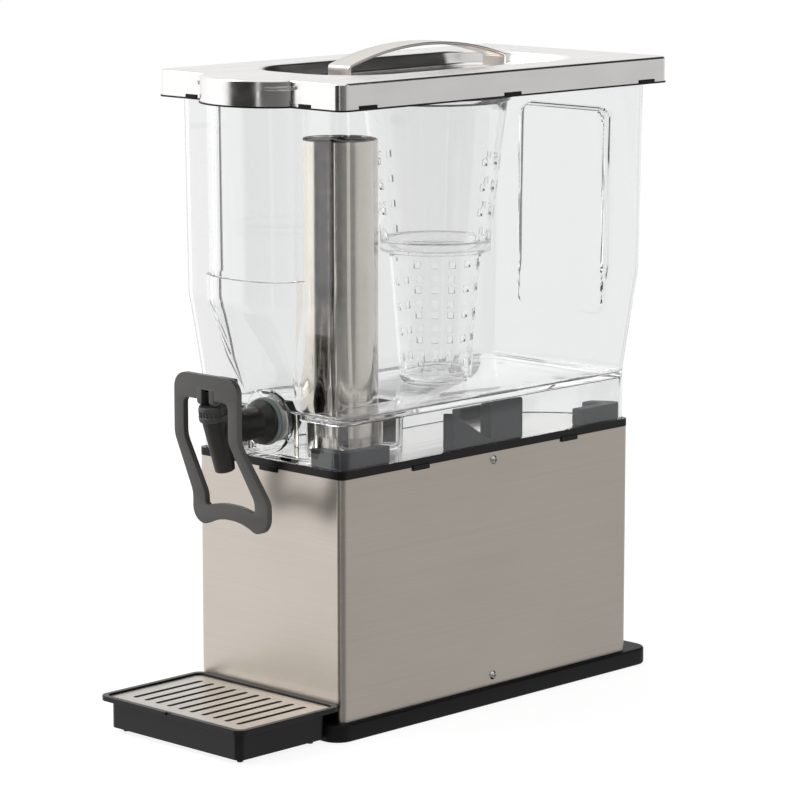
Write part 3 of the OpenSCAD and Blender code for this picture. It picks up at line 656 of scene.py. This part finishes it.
def make_infuser():
    low, high = (v.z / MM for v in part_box("infuser_cup"))
    collar_high = high
    collar_low = high - 8.8
    cup_low = low + 7.4
    at_infuser = Matrix.Translation((0, INFUSER_Y, 0))

    def cup_radius(z):
        share = (z - cup_low) / (collar_low - cup_low)
        if share >= 0:
            return 29 + 8.4 * share
        drop = min(1, -share * (collar_low - cup_low) / 7.4)
        return 22.5 + 6.5 * sqrt(max(0, 1 - drop ** 2))

    rows = [267.5 + 20.1 * k for k in range(5)]
    levels = [cup_low + 3, collar_low + 0.6] + [cup_low + 4 + 8 * k for k in range(12)]
    levels = [z for z in levels if all(abs(z - r) > 3.4 for r in rows)]
    verts, faces = holed_cone(cup_radius, levels, rows, 23, -24, 5, 5.4)
    wall = solid("cup_wall", verts, faces, matrix=at_infuser)
    thicken(wall, 2, 0.35)
    turn = min(v for v in levels)
    bowl_profile = [(cup_radius(cup_low - 7.4 * sin(pi / 2 * k / 8)), cup_low - 7.4 * sin(pi / 2 * k / 8))
                    for k in range(8, -1, -1)]
    inner_r = cup_radius(turn) - 2
    bowl = rounded([(0, low), (22.5, low)] , [0, 0], 1, False) + [Vector(p) for p in bowl_profile]
    bowl += [Vector((cup_radius(turn), turn)), Vector((inner_r, turn))]
    bowl += [Vector((inner_r * 1.0 - 5 * (1 - cos(pi / 2 * k / 6)), cup_low + 0.5 - 5 * sin(pi / 2 * k / 6)))
             for k in range(7)]
    bowl += [Vector((0, cup_low - 4.5))]
    base = lathe("cup_bowl", bowl, False, 96, matrix=at_infuser)
    collar = [(37.4, collar_low), (44.4, collar_low), (44.4, collar_high), (42, collar_high),
              (42, collar_low + 2.4), (35.4, collar_low + 2.4), (35.4, collar_low)]
    collar = lathe("cup_collar", rounded(collar, [0, 1.2, 0.6, 0.5, 0.6, 0.5, 0], 4), True, 128,
                   matrix=at_infuser)
    cup = merge("infuser_cup_shell", [wall, base, collar])
    shade(cup, 35)
    piece(cup, clear_infuser, "cup", "infuser_cup", slot="clear_infuser")

    sleeve_low, top = (v.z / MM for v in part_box("infuser_sleeve"))
    sleeve_low += 6
    sleeve_high = 476

    def sleeve_radius(z):
        return 44.2 + (57.5 - 44.2) * (z - sleeve_low) / (sleeve_high - sleeve_low)

    rows = [sleeve_low + 4.1 + 20.1 * k for k in range(4)]
    levels = [sleeve_low + 0.8, sleeve_high] + [sleeve_low + 6 + 8 * k for k in range(13)]
    levels = [z for z in levels if all(abs(z - r) > 3.2 for r in rows) and z <= sleeve_high]
    verts, faces = holed_cone(sleeve_radius, levels, rows, 17.5, 38, 5, 5.4)
    wall = solid("sleeve_wall", verts, faces, matrix=at_infuser)
    thicken(wall, 2, 0.35)
    step = sleeve_low + 0.8
    foot = [(39.6, sleeve_low - 6), (41.6, sleeve_low - 6), (41.6, sleeve_low), (44.2, sleeve_low),
            (sleeve_radius(step), step), (42.2, step), (39.6, sleeve_low - 1)]
    foot = lathe("sleeve_foot", rounded(foot, [0.5, 0.5, 0.3, 0.3, 0, 0, 0.5], 3), True, 128,
                 matrix=at_infuser)
    head = [(57.5, sleeve_high - 0.4), (59.9, sleeve_high + 1), (59.9, top), (55.5, top),
            (55.5, sleeve_high - 0.4)]
    head = lathe("sleeve_head", rounded(head, [0.4, 0.8, 0.5, 0.5, 0.3], 4), True, 128, matrix=at_infuser)
    sleeve = merge("infuser_sleeve_shell", [wall, foot, head])
    shade(sleeve, 35)
    piece(sleeve, clear_infuser, "infuser", "infuser_sleeve", slot="clear_infuser")


# ---- Lid ----

def add_other_sides(out, x_half, y_half, radius):
    """Goes on from a finished front edge round the right, back and left of a rounded plan."""
    straight = x_half - radius
    steps = 12
    add_corner(out, (straight, -y_half + radius), radius, -90, steps)
    for k in range(1, steps + 1):
        out.append((x_half, (-y_half + radius) * (1 - 2 * k / steps)))
    add_corner(out, (straight, y_half - radius), radius, 0, steps)
    for k in range(1, steps + 1):
        out.append((straight * (1 - 2 * k / steps), y_half))
    add_corner(out, (-straight, y_half - radius), radius, 90, steps)
    for k in range(1, steps + 1):
        out.append((-x_half, (y_half - radius) * (1 - 2 * k / steps)))
    add_corner(out, (-straight, -y_half + radius), radius, 180, steps)


def lid_ring(z, in_by):
    """The lid in plan with its front bulge, moved inwards by in_by."""
    x_half, y_half = LID_X - in_by, LID_Y - in_by
    radius = LID_R - min(in_by, 5)
    root, wide, deep = -175.5, LID_BULGE_W - in_by, LID_BULGE_D + 12 - in_by
    edge = wide * sqrt(1 - ((y_half + root) / deep) ** 2)
    straight = x_half - radius
    out = []

    for k in range(7):
        out.append((-straight + (straight - edge) * k / 6, -y_half))
    for k in range(1, 40):
        x = -edge * cos(pi * k / 40)
        out.append((x, root - deep * sqrt(1 - (x / wide) ** 2)))
    for k in range(7):
        out.append((edge + (straight - edge) * k / 6, -y_half))
    add_other_sides(out, x_half, y_half, radius)
    return ring_at(out[:-1], z)


def recess_ring(z, in_by):
    """The recess in plan, with as many points as the lid's plan."""
    x_half, y_half, radius = RECESS_X - in_by, RECESS_Y - in_by, RECESS_R - in_by
    straight = x_half - radius
    out = []

    for k in range(53):
        out.append((-straight + 2 * straight * k / 52, -y_half))
    add_other_sides(out, x_half, y_half, radius)
    return ring_at(out[:-1], z)


def make_lid():
    low, high = (v.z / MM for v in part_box("lid_cover"))
    first, edge, mouth_r, foot_r = 0.9, 2.2, 3, 3.5
    floor = high - 12
    slope = 2.5
    rings = [lid_ring(low, first), lid_ring((low + high) / 2, first)]
    for k in range(7):
        a = pi / 2 * k / 6
        rings.append(lid_ring(high - edge * (1 - sin(a)), first + edge * (1 - cos(a))))
    for k in range(6):
        a = pi / 2 * k / 5
        rings.append(recess_ring(high - mouth_r * (1 - cos(a)), -mouth_r * (1 - sin(a)) + 0.2))
    for k in range(6):
        a = pi / 2 * k / 5
        rings.append(recess_ring(floor + foot_r * (1 - sin(a)), slope + foot_r * (1 - cos(a))))
    last = recess_ring(floor, slope + foot_r)
    middle = [[Vector((p.x * s, p.y * s, floor)) for p in last] for s in (0.9, 0.5)]
    cover = loft("lid_cover_shell", rings + middle, caps=False)
    work = bmesh.new()
    work.from_mesh(cover.data)
    rims = [e for e in work.edges if e.is_boundary and e.verts[0].co.z > (floor - 1) * MM]
    bmesh.ops.holes_fill(work, edges=rims, sides=0)
    bmesh.ops.recalc_face_normals(work, faces=work.faces)
    work.to_mesh(cover.data)
    work.free()
    sheet = cover.modifiers.new("sheet", "SOLIDIFY")
    sheet.thickness = 1.0 * MM
    sheet.offset = -1
    bake(cover)
    shade(cover, 40)
    normals = cover.modifiers.new("normals", "WEIGHTED_NORMAL")
    normals.keep_sharp = True
    piece(cover, lid_steel, "lid", "lid_cover", slot="lid_steel")


def sweep_strap(name, path, width, thickness, edge):
    """A flat strap across X along a (y, z) path, with round edges."""
    section = rounded([(-width / 2, -thickness / 2), (width / 2, -thickness / 2),
                       (width / 2, thickness / 2), (-width / 2, thickness / 2)], edge, 3)
    rings = []
    for i, p in enumerate(path):
        before = path[max(0, i - 1)]
        after = path[min(len(path) - 1, i + 1)]
        way = (after - before).normalized()
        up = Vector((-way.y, way.x))
        rings.append([Vector((s[0], p.x + up.x * s[1], p.y + up.y * s[1])) for s in section])
    return loft(name, rings)


def make_lid_handle():
    half, thick, rise = 89.4, 2.5, 14
    low, high = (v.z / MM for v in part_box("lid_handle"))
    radius = (half * half + rise * rise) / (2 * rise)
    mid = half - thick / 2
    foot_end = half - thick - 16
    steps = 28
    arch = []
    for k in range(1, steps):
        y = -mid + 2 * mid * k / steps
        arch.append((y, high - radius + sqrt(radius ** 2 - y ** 2) - thick / 2))
    arch = [p for p in arch if abs(p[0]) < mid - 5]
    corner_z = high - radius + sqrt(radius ** 2 - mid ** 2) - thick / 2
    points = [(-foot_end, low + thick / 2), (-mid, low + thick / 2), (-mid, corner_z)] + arch
    points += [(mid, corner_z), (mid, low + thick / 2), (foot_end, low + thick / 2)]
    radii = [0, 2.6, 2.2] + [0] * len(arch) + [2.2, 2.6, 0]
    strap = sweep_strap("lid_handle_strap", rounded(points, radii, 6, False), 24, thick, 0.9)
    shade(strap, 50)
    piece(strap, strap_steel, "lid", "lid_handle", slot="lid_steel")


# ---- Faucet ----

VALVE = Matrix.Translation((0, VALVE_Y, SHANK_Z)) @ Matrix.Rotation(radians(VALVE_TILT), 4, "X")
ALONG_Y = Matrix.Rotation(-pi / 2, 4, "X")


def make_faucet_body():
    flange = -172.5
    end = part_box("faucet_body")[1].y / MM
    start = VALVE_Y - 2
    barrel = [(0, 0), (12.5, 0), (12.5, flange - 9 - start), (17, flange - 3.6 - start),
              (17.5, flange - 3.5 - start), (17.5, flange - start), (SHANK_R, flange - start),
              (SHANK_R, end - start), (6.5, end - start), (6.5, end - start - 30), (0, end - start - 30)]
    barrel = rounded(barrel, [0, 2, 2, 0.4, 1.2, 0.8, 0.3, 0.8, 0.6, 0.5, 0], 4, False)
    body = lathe("faucet_barrel", barrel, False, 96, matrix=Matrix.Translation((0, start, SHANK_Z)) @ ALONG_Y)
    low, high = -33.3, 8.9
    spout = [(0, high), (10.9, high), (7.75, low), (5.6, low), (5.6, -10), (0, -10)]
    spout = rounded(spout, [0, 0.8, 0.9, 0.7, 0.5, 0], 4, False)
    combine(body, lathe("spout", spout, False, 96, matrix=VALVE), "UNION")
    bore = [(0, -9), (5.55, -9), (5.55, low - 2), (0, low - 2)]
    combine(body, lathe("spout_bore", bore, False, 64, matrix=VALVE), "DIFFERENCE")
    seat = lathe("bonnet_seat", [(0, 8.9), (13.4, 8.9), (13.4, 24), (0, 24)], False, 64, matrix=VALVE)
    combine(body, seat, "DIFFERENCE")
    body.name = "faucet_body_shell"
    shade(body, 28)
    soften(body, 0.5, 34, 2)
    piece(body, faucet_plastic, "reservoir", "faucet_body", slot="faucet_plastic")


def make_bonnet():
    ring = [(9.7, 9), (12.3, 9), (12.6, 9.6), (12.6, 13), (12.2, 13.4), (11.5, 13.6), (11.5, 17.4),
            (11.9, 17.6), (11.9, 18.6), (10.8, BONNET_TOP), (4.7, BONNET_TOP), (4.7, 16), (9.7, 16)]
    ring = rounded(ring, [0.2, 0.2, 0.2, 0.3, 0.2, 0.2, 0.2, 0.2, 0.5, 0.8, 0.4, 0.3, 0.3], 3)
    parts = [lathe("bonnet_ring", ring, True, 96, matrix=VALVE)]
    for k in range(24):
        turn = VALVE @ Matrix.Rotation(2 * pi * k / 24, 4, "Z") @ Matrix.Translation((11.75, 0, 0))
        rib = [(-0.6, -0.55), (0.35, -0.55), (0.35, 0.55), (-0.6, 0.55)]
        parts.append(block("rib", rounded(rib, 0.25, 2), 13.4, 17.5, 0.2, 2, matrix=turn))
    bonnet = merge("faucet_bonnet_cap", parts)
    shade(bonnet, 35)
    piece(bonnet, bonnet_plastic, "reservoir", "faucet_bonnet", slot="handle_plastic")


def make_washer():
    low, high = (v.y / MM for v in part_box("washer_outer"))
    deep = high - low
    profile = [(SHANK_R + 0.1, 0), (18.5, 0), (18.5, deep), (SHANK_R + 0.1, deep)]
    washer = lathe("washer_outer_ring", rounded(profile, [0.3, 1.3, 0.5, 0.2], 5), True, 96,
                   matrix=Matrix.Translation((0, low, SHANK_Z)) @ ALONG_Y)
    piece(washer, grey_silicone, "reservoir", "washer_outer", slot="silicone_grey")


def loop_sweep(z):
    """How far back the push loop has swept at a level."""
    high, low, depth, ease = PIN_Z - 33.3 + 6, PIN_Z - 79.8 - 6, 24.5, 0.16
    share = min(1, max(0, (high - z) / (high - low)))
    if share < ease:
        eased = share ** 2 / (2 * ease)
    elif share > 1 - ease:
        eased = (1 - ease) - (1 - share) ** 2 / (2 * ease)
    else:
        eased = share - ease / 2
    return depth * eased / (1 - ease)


def mirrored(points):
    """Points on the left side, then the same on the right in reverse."""
    return points + [(-x, z) for x, z in reversed(points)]


def make_handle():
    thick = 5
    front = PIN_Y - 4.1 - thick / 2
    top, bend, sweep, low = PIN_Z + 16.8, PIN_Z - 33.3, PIN_Z - 79.8, PIN_Z - 105.2
    bar = PIN_Z - 86.5
    arch = [(x, bar - 12 - 58 + sqrt(58 ** 2 - x ** 2)) for x in (-26, -21, -15.5, -10.5, -5)]
    outer = rounded(mirrored([(-35, top), (-35, bend), (-41.5, sweep), (-41.5, low), (-28, low)] + arch),
                    mirror_radii([12, 60, 60, 12.6, 6] + [0] * 5), 7)
    crown = [(x, bar - 90 + sqrt(90 ** 2 - x ** 2)) for x in (-22, -16.5, -11, -5.5)]
    corner_z = bar - 90 + sqrt(90 ** 2 - 27.5 ** 2)
    window = rounded(mirrored([(-24.5, PIN_Z - 2), (-24.5, bend), (-27.5, sweep), (-27.5, corner_z)] + crown),
                     mirror_radii([5, 60, 60, 3] + [0] * 4), 7)
    to_front = Matrix(((1, 0, 0, 0), (0, 0, 1, 0), (0, 1, 0, 0), (0, 0, 0, 1)))
    plate = loft("loop_plate", [ring_at(outer, 0), ring_at(outer, thick)], matrix=to_front)
    hole = loft("loop_window", [ring_at(window, -2), ring_at(window, thick + 2)], matrix=to_front)
    combine(plate, hole, "DIFFERENCE")
    work = bmesh.new()
    work.from_mesh(plate.data)
    z = low + 4
    while z < top - 4:
        geometry = work.verts[:] + work.edges[:] + work.faces[:]
        bmesh.ops.bisect_plane(work, geom=geometry, plane_co=(0, 0, z * MM), plane_no=(0, 0, 1))
        z += 3
    for v in work.verts:
        v.co.y += (front + loop_sweep(v.co.z / MM)) * MM
    bmesh.ops.recalc_face_normals(work, faces=work.faces)
    work.to_mesh(plate.data)
    work.free()
    bevel = plate.modifiers.new("edges", "BEVEL")
    bevel.width = 1.3 * MM
    bevel.segments = 4
    bevel.limit_method = "ANGLE"
    bevel.angle_limit = radians(50)
    bake(plate)
    combine(plate, make_cheeks(), "UNION")
    slot = block("slot", rectangle(8.4, 24.4, 0.6, PIN_Y - 5.8, 3), PIN_Z - 12, PIN_Z + 5.8, 0.4, 2)
    combine(plate, slot, "DIFFERENCE")
    shade(plate, 38)
    plate.name = "faucet_handle_loop"
    piece(plate, handle_plastic, "push_handle", "faucet_handle", slot="handle_plastic")


def mirror_radii(radii):
    return radii + radii[::-1]


def make_cheeks():
    """The hub behind the loop that carries the pin, the cam lobes and the tail."""
    drop, offset = 2, 3.5
    lobe_r = PIN_UP - BONNET_TOP - drop - 0.1
    tilt = radians(VALVE_TILT)
    lobe_y = PIN_Y - offset * cos(tilt) + drop * sin(tilt)
    lobe_z = PIN_Z - offset * sin(tilt) - drop * cos(tilt)
    outline = [(lobe_y - lobe_r, PIN_Z + 6.8), (lobe_y - lobe_r, lobe_z - lobe_r),
               (lobe_y + lobe_r - 0.6, lobe_z - lobe_r),
               (PIN_Y + 3, PIN_Z - 4.6), (PIN_Y + 9, PIN_Z - 1.6), (PIN_Y + 18.7, PIN_Z + 6.2),
               (PIN_Y + 18.7, PIN_Z + 12.5), (PIN_Y + 14.6, PIN_Z + 12.5), (PIN_Y + 9, PIN_Z + 6.8)]
    outline = rounded(outline, [1, 3.6, 3.4, 2, 3, 1.8, 1.4, 1.4, 4], 5)
    across = Matrix(((0, 0, 1, 0), (1, 0, 0, 0), (0, 1, 0, 0), (0, 0, 0, 1)))
    return block("cheeks", outline, -9.5, 9.5, 0.8, 3, matrix=across)


# ---- Base and tray ----

def make_base_shell():
    low, high = (v.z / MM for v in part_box("base_shell"))
    outer = rectangle(160, 333, 6, 0, 12)
    inner = rectangle(160 - 2.4, 333 - 2.4, 4.8, 0, 12)
    lip = 0.3
    rings = [ring_at(inset(outer, lip), low), ring_at(outer, low + lip)]
    rings += [ring_at(outer, low + (high - low) * k / 6) for k in range(1, 6)]
    rings += [ring_at(outer, high - lip), ring_at(inset(outer, lip), high)]
    rings += [ring_at(inner, high), ring_at(inner, low)]
    shell = loft("base_shell_sheet", rings, closed=True)
    normals = shell.modifiers.new("normals", "WEIGHTED_NORMAL")
    normals.keep_sharp = True
    piece(shell, base_steel, "base", "base_shell", slot="base_steel")


def make_foot_plate():
    low, high = 0, 14
    outline = rectangle(169, 369, 15, 8, 12)
    plate = block("foot_plate_moulding", outline, low, high, 1.8, 5)
    upstand = loft("upstand", [ring_at(rectangle(157.4, 330.4, 4.8, 0, 6), z) for z in (13, 32)])
    combine(plate, upstand, "UNION")
    shade(plate, 30)
    piece(plate, black_plastic, "base", "foot_plate", slot="black_plastic")


# ---- Stage ----

# What polished parts see round the object: (azimuth from +X in degrees, level)
ROUND_ABOUT = [(0, 0.28), (8, 0.60), (45, 0.70), (85, 0.80), (134, 0.92), (180, 1.2), (215, 1.4),
               (236, 1.3), (244, 0.05), (284, 0.03), (288.5, 0.03), (290, 1.6), (292, 1.6),
               (293.5, 0.14), (330, 0.16), (352, 0.22)]
# Level against the sine of the elevation: floor, horizon and the soft box overhead
UPWARDS = [(-1, 0.55), (-0.5, 0.8), (-0.1, 1.0), (0.25, 1.0), (0.6, 1.25), (1, 1.5)]
# Levels of what shows straight through the clear walls, and of the light on matt surfaces
THROUGH, SOFT = 0.84, 0.42
# Light that crosses many clear walls needs a long path
BOUNCES = 32


def make_world():
    """Soft studio surroundings: white to the camera, with light and dark sides for the metal."""
    world = bpy.data.worlds.new("studio")
    bpy.context.scene.world = world
    world.use_nodes = True
    tree = world.node_tree
    tree.nodes.clear()

    def node(kind, **inputs):
        made = tree.nodes.new(kind)
        for name, value in inputs.items():
            tree.links.new(value, made.inputs[name.replace("_", " ")])
        return made

    def math(operation, *values):
        made = tree.nodes.new("ShaderNodeMath")
        made.operation = operation
        for socket, value in zip(made.inputs, values):
            if isinstance(value, (int, float)):
                socket.default_value = value
            else:
                tree.links.new(value, socket)
        return made.outputs[0]

    def curve(source, points, ceiling=1.6):
        ramp = node("ShaderNodeValToRGB", Fac=source)
        stops = ramp.color_ramp.elements
        stops[0].position, stops[1].position = points[0][0], points[-1][0]
        for position, _ in points[1:-1]:
            stops.new(position)
        for stop, (_, value) in zip(stops, points):
            stop.color = (value / ceiling, value / ceiling, value / ceiling, 1)
        return math("MULTIPLY", ramp.outputs["Color"], ceiling)

    def mix(factor, a, b):
        made = tree.nodes.new("ShaderNodeMix")
        made.data_type = "FLOAT"
        tree.links.new(factor, made.inputs["Factor"])
        for socket, value in zip((made.inputs["A"], made.inputs["B"]), (a, b)):
            if isinstance(value, (int, float)):
                socket.default_value = value
            else:
                tree.links.new(value, socket)
        return made.outputs["Result"]

    way = node("ShaderNodeSeparateXYZ", Vector=tree.nodes.new("ShaderNodeTexCoord").outputs["Generated"])
    turn = math("ARCTAN2", way.outputs["Y"], way.outputs["X"])
    turn = math("FRACT", math("ADD", math("DIVIDE", turn, 2 * pi), 1))
    about = curve(turn, [(a / 360, v) for a, v in ROUND_ABOUT] + [(1, ROUND_ABOUT[0][1])])
    height = math("ADD", math("MULTIPLY", way.outputs["Z"], 0.5), 0.5)
    upwards = curve(height, [((z + 1) / 2, v) for z, v in UPWARDS])
    steep = curve(height, [(0, 1), (0.3, 0.6), (0.42, 0), (0.62, 0), (0.85, 1), (1, 1)])
    polished = mix(steep, math("MULTIPLY", about, upwards), math("MULTIPLY", upwards, 0.8))
    side = curve(turn, [(0, 0), (4 / 360, 0), (10 / 360, 1), (95 / 360, 1), (115 / 360, 0), (1, 0)])
    above = curve(height, [(0, 0), (0.53, 0), (0.57, 1), (0.88, 1), (0.95, 0), (1, 0)])
    shade_share = math("MULTIPLY", math("MULTIPLY", side, above), 0.97)
    polished = math("MULTIPLY", polished, math("SUBTRACT", 1, shade_share))
    path = tree.nodes.new("ShaderNodeLightPath")
    direct = math("LESS_THAN", path.outputs["Glossy Depth"], 0.5)
    level = mix(math("MULTIPLY", path.outputs["Is Transmission Ray"], direct), polished, THROUGH)
    level = mix(path.outputs["Is Diffuse Ray"], level, SOFT)
    level = mix(path.outputs["Is Camera Ray"], level, 1.0)
    light = node("ShaderNodeBackground", Color=level)
    node("ShaderNodeOutputWorld", Surface=light.outputs["Background"])


def area_light(name, place, target, size, power, colour=(1, 1, 1)):
    data = bpy.data.lights.new(name, "AREA")
    data.shape = "RECTANGLE"
    data.size, data.size_y = size
    data.energy = power
    data.color = colour
    light = bpy.data.objects.new(name, data)
    light.location = place
    light.rotation_euler = (Vector(target) - Vector(place)).to_track_quat("-Z", "Y").to_euler()
    bpy.context.scene.collection.objects.link(light)


def make_floor():
    size = 30
    mesh = bpy.data.meshes.new("floor")
    corners = [(-size, -size, 0), (size, -size, 0), (size, size, 0), (-size, size, 0)]
    mesh.from_pydata(corners, [], [(0, 1, 2, 3)])
    floor = bpy.data.objects.new("floor", mesh)
    bpy.context.scene.collection.objects.link(floor)
    paper = Finish("floor_paper", Specular_IOR_Level=0.0, Emission_Color=(1, 1, 1, 1), Emission_Strength=0.88)
    paper.tint(paper.noise(3, detail=2), (0.28, 0.28, 0.28), (0.3, 0.3, 0.3))
    paper.roughness(paper.noise(40, detail=2), 0.7, 0.8)
    mesh.materials.append(paper.material)
    floor.location.z = -0.0003
    floor.visible_glossy = False
    floor.visible_transmission = False


def make_camera():
    data = bpy.data.cameras.new("camera")
    data.lens, data.sensor_width = 163.34, 36
    data.clip_end = 100
    camera = bpy.data.objects.new("camera", data)
    camera.location = (1.9908, -2.0702, 0.7345)
    forward = Vector((-0.68656, 0.70666, -0.17106))
    camera.rotation_euler = forward.to_track_quat("-Z", "Y").to_euler()
    bpy.context.scene.collection.objects.link(camera)
    bpy.context.scene.camera = camera


make_camera()
make_reservoir()
make_ice_tube()
make_infuser()
make_lid()
make_lid_handle()
make_faucet_body()
make_bonnet()
make_washer()
make_handle()
make_base_shell()
make_foot_plate()
dress("foot_pads", pad_rubber, 0.3)
dress("base_collar", collar_plastic, 0.6)
dress("deck_plate", deck_steel, 0.15)
dress("corner_blocks", block_rubber, 1.4)
dress("side_blocks", block_rubber, 1.2)
dress("base_screws", screw_steel, 0.12)
dress("washer_inner", white_silicone, 0.3)
dress("shank_nut", nut_plastic, 0.6)
dress("faucet_stem", faucet_plastic, 0.4)
dress("seat_cup", white_silicone, 0.3)
dress("handle_pin", screw_steel, 0.3)
dress("tube_stopper", black_plastic, 0.5)
dress("stopper_seal", red_silicone, 0.1)
dress("lid_liner", liner_plastic, 0.25)
dress("lid_screws", screw_steel, 0.15)
dress("drip_tray", tray_plastic, 0.8)
dress("tray_grille", grille_steel, 0.45)
make_floor()
make_world()
area_light("key", (-1.6, -1.8, 2.2), (0, 0, 0.25), (1.5, 1.5), 34)
area_light("fill", (2.4, 1.2, 1.6), (0, 0, 0.25), (1.6, 1.2), 5)
bpy.context.scene.view_settings.view_transform = "Standard"
for limit in ("max_bounces", "transmission_bounces", "glossy_bounces", "transparent_max_bounces"):
    setattr(bpy.context.scene.cycles, limit, BOUNCES)
